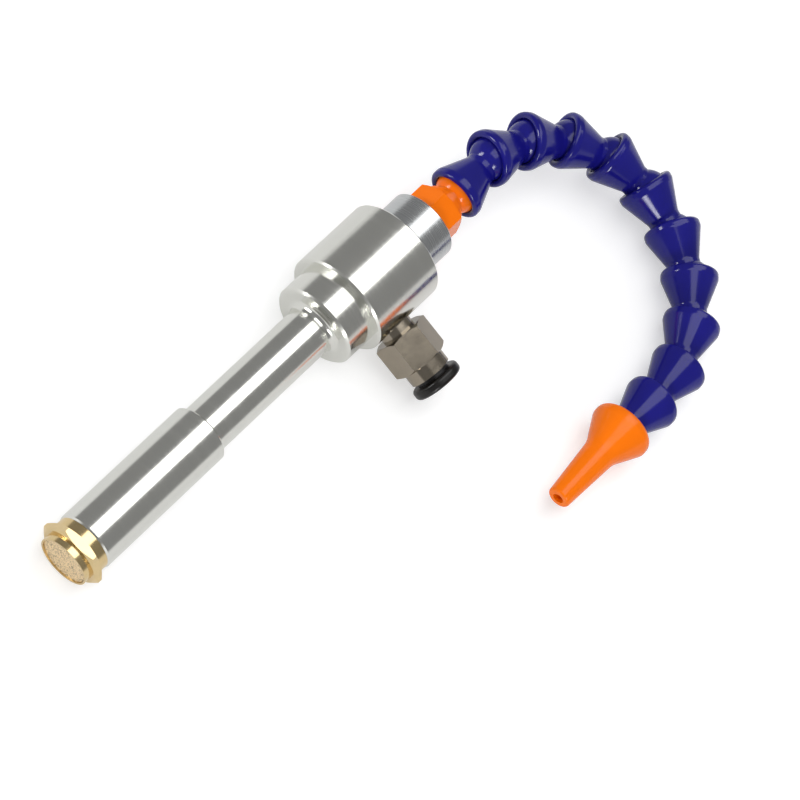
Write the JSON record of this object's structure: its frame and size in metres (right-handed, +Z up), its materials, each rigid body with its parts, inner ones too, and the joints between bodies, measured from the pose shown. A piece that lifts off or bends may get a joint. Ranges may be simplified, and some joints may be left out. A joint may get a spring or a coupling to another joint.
{
  "type": "vortex spot cooler",
  "caption": "Compressed-air vortex tube cooler with a push-in inlet, a silenced adjustable hot end and a flexible ball-and-socket hose with a nozzle.",
  "frame": {"origin": "centre of the footprint's bounding box, on the surface that the cooler lies on", "axes": "+X along the metal body towards the cold end, +Z up, the inlet and the hose on the -Y side"},
  "size_m": [0.2108, 0.1, 0.0314],
  "materials": {
    "body_metal": "turned, bright",
    "tube_metal": "turned, bright",
    "sleeve_metal": "turned, bright",
    "cap_metal": "turned",
    "generator_plastic": "moulded",
    "seal_rubber": "moulded",
    "fitting_metal": "nickel plated",
    "grip_metal": "stamped",
    "orange_plastic": "moulded, glossy",
    "valve_brass": "turned",
    "silencer_brass": "turned, bright",
    "porous_bronze": "sintered, granular",
    "ring_plastic": "moulded, slightly glossy",
    "blue_plastic": "moulded, glossy"
  },
  "bodies": {
    "cooler": {"housing": "body_metal", "hot_tube": "tube_metal", "vortex_generator": "generator_plastic", "generator_seal": "seal_rubber", "cold_cap": "cap_metal", "cap_seal": "seal_rubber", "inlet_fitting": "fitting_metal", "tube_seal": "seal_rubber", "grip_ring": "grip_metal", "hose_connector": "orange_plastic"},
    "hot_end_seal": {"sleeve_seal": "seal_rubber"},
    "hot_end": {"end_sleeve": "sleeve_metal", "hot_valve": "valve_brass", "muffler_body": "silencer_brass", "muffler_disc": "porous_bronze"},
    "release_ring": {"release_ring": "ring_plastic"},
    "hose_link_01": {"hose_link_01": "blue_plastic"},
    "hose_link_02": {"hose_link_02": "blue_plastic"},
    "hose_link_03": {"hose_link_03": "blue_plastic"},
    "hose_link_04": {"hose_link_04": "blue_plastic"},
    "hose_link_05": {"hose_link_05": "blue_plastic"},
    "hose_link_06": {"hose_link_06": "blue_plastic"},
    "hose_link_07": {"hose_link_07": "blue_plastic"},
    "hose_link_08": {"hose_link_08": "blue_plastic"},
    "hose_link_09": {"hose_link_09": "blue_plastic"},
    "hose_link_10": {"hose_link_10": "blue_plastic"},
    "hose_link_11": {"hose_link_11": "blue_plastic"},
    "nozzle": {"nozzle": "orange_plastic"}
  },
  "joints": [
    {"name": "hose_link_01_pitch", "type": "hinge", "parent": "cooler", "child": "hose_link_01", "pos_m": [0.04865, 0.035, 0.01811], "axis": [0, -1, 0], "range_deg": [-26.3, 19.6]},
    {"name": "hose_link_02_swing", "type": "hinge", "parent": "hose_link_01", "child": "hose_link_02", "pos_m": [0.06239, 0.03534, 0.0198], "axis": [0, 0, -1], "range_deg": [-34.8, 1.2]},
    {"name": "hose_link_03_swing", "type": "hinge", "parent": "hose_link_02", "child": "hose_link_03", "pos_m": [0.07563, 0.03169, 0.01801], "axis": [0, 0, -1], "range_deg": [-41.2, 4.6]},
    {"name": "hose_link_04_swing", "type": "hinge", "parent": "hose_link_03", "child": "hose_link_04", "pos_m": [0.0869, 0.02417, 0.01513], "axis": [0, 0, -1], "range_deg": [-45.9, 0.7]},
    {"name": "hose_link_05_swing", "type": "hinge", "parent": "hose_link_04", "child": "hose_link_05", "pos_m": [0.09448, 0.01282, 0.01278], "axis": [0, 0, -1], "range_deg": [-45.1, 1.5]},
    {"name": "hose_link_06_swing", "type": "hinge", "parent": "hose_link_05", "child": "hose_link_06", "pos_m": [0.09729, -0.00054, 0.01043], "axis": [0, 0, -1], "range_deg": [-44.3, 2.3]},
    {"name": "hose_link_07_swing", "type": "hinge", "parent": "hose_link_06", "child": "hose_link_07", "pos_m": [0.09513, -0.01402, 0.00807], "axis": [0, 0, -1], "range_deg": [-41.1, 0.7]},
    {"name": "hose_link_08_swing", "type": "hinge", "parent": "hose_link_07", "child": "hose_link_08", "pos_m": [0.08835, -0.02609, 0.00807], "axis": [0, 0, -1], "range_deg": [-42.4, 3.6]},
    {"name": "hose_link_09_swing", "type": "hinge", "parent": "hose_link_08", "child": "hose_link_09", "pos_m": [0.07795, -0.03523, 0.00807], "axis": [0, 0, -1], "range_deg": [-41.6, 4.4]},
    {"name": "hose_link_10_swing", "type": "hinge", "parent": "hose_link_09", "child": "hose_link_10", "pos_m": [0.06517, -0.04058, 0.00807], "axis": [0, 0, -1], "range_deg": [-40.8, 5.2]},
    {"name": "hose_link_11_pitch", "type": "hinge", "parent": "hose_link_10", "child": "hose_link_11", "pos_m": [0.05137, -0.04176, 0.00807], "axis": [-0.0854, 0.9963, 0], "range_deg": [-24.9, 18.9]},
    {"name": "nozzle_swing", "type": "hinge", "parent": "hose_link_11", "child": "nozzle", "pos_m": [0.03755, -0.04123, 0.00879], "axis": [0, 0, -1], "range_deg": [-18.9, 26.5]},
    {"name": "hot_end_travel", "type": "slide", "parent": "cooler", "child": "hot_end_seal", "axis": [0.998, 0, 0.0634], "range_m": [-0.00075, 0.00075]},
    {"name": "hot_end_turn", "type": "hinge", "parent": "hot_end_seal", "child": "hot_end", "pos_m": [-0.08179, 0.035, 0.00982], "axis": [0.998, 0, 0.0634], "range_deg": [-270, 270]},
    {"name": "release_ring_press", "type": "slide", "parent": "cooler", "child": "release_ring", "axis": [-0.013, 0.9789, 0.2041], "range_m": [0, 0.001], "stiffness_N_per_m": 2000}
  ],
  "couplings": [
    {"joint": "hot_end_turn", "follows": "hot_end_travel", "rad_per_m": 6283.2}
  ]
}
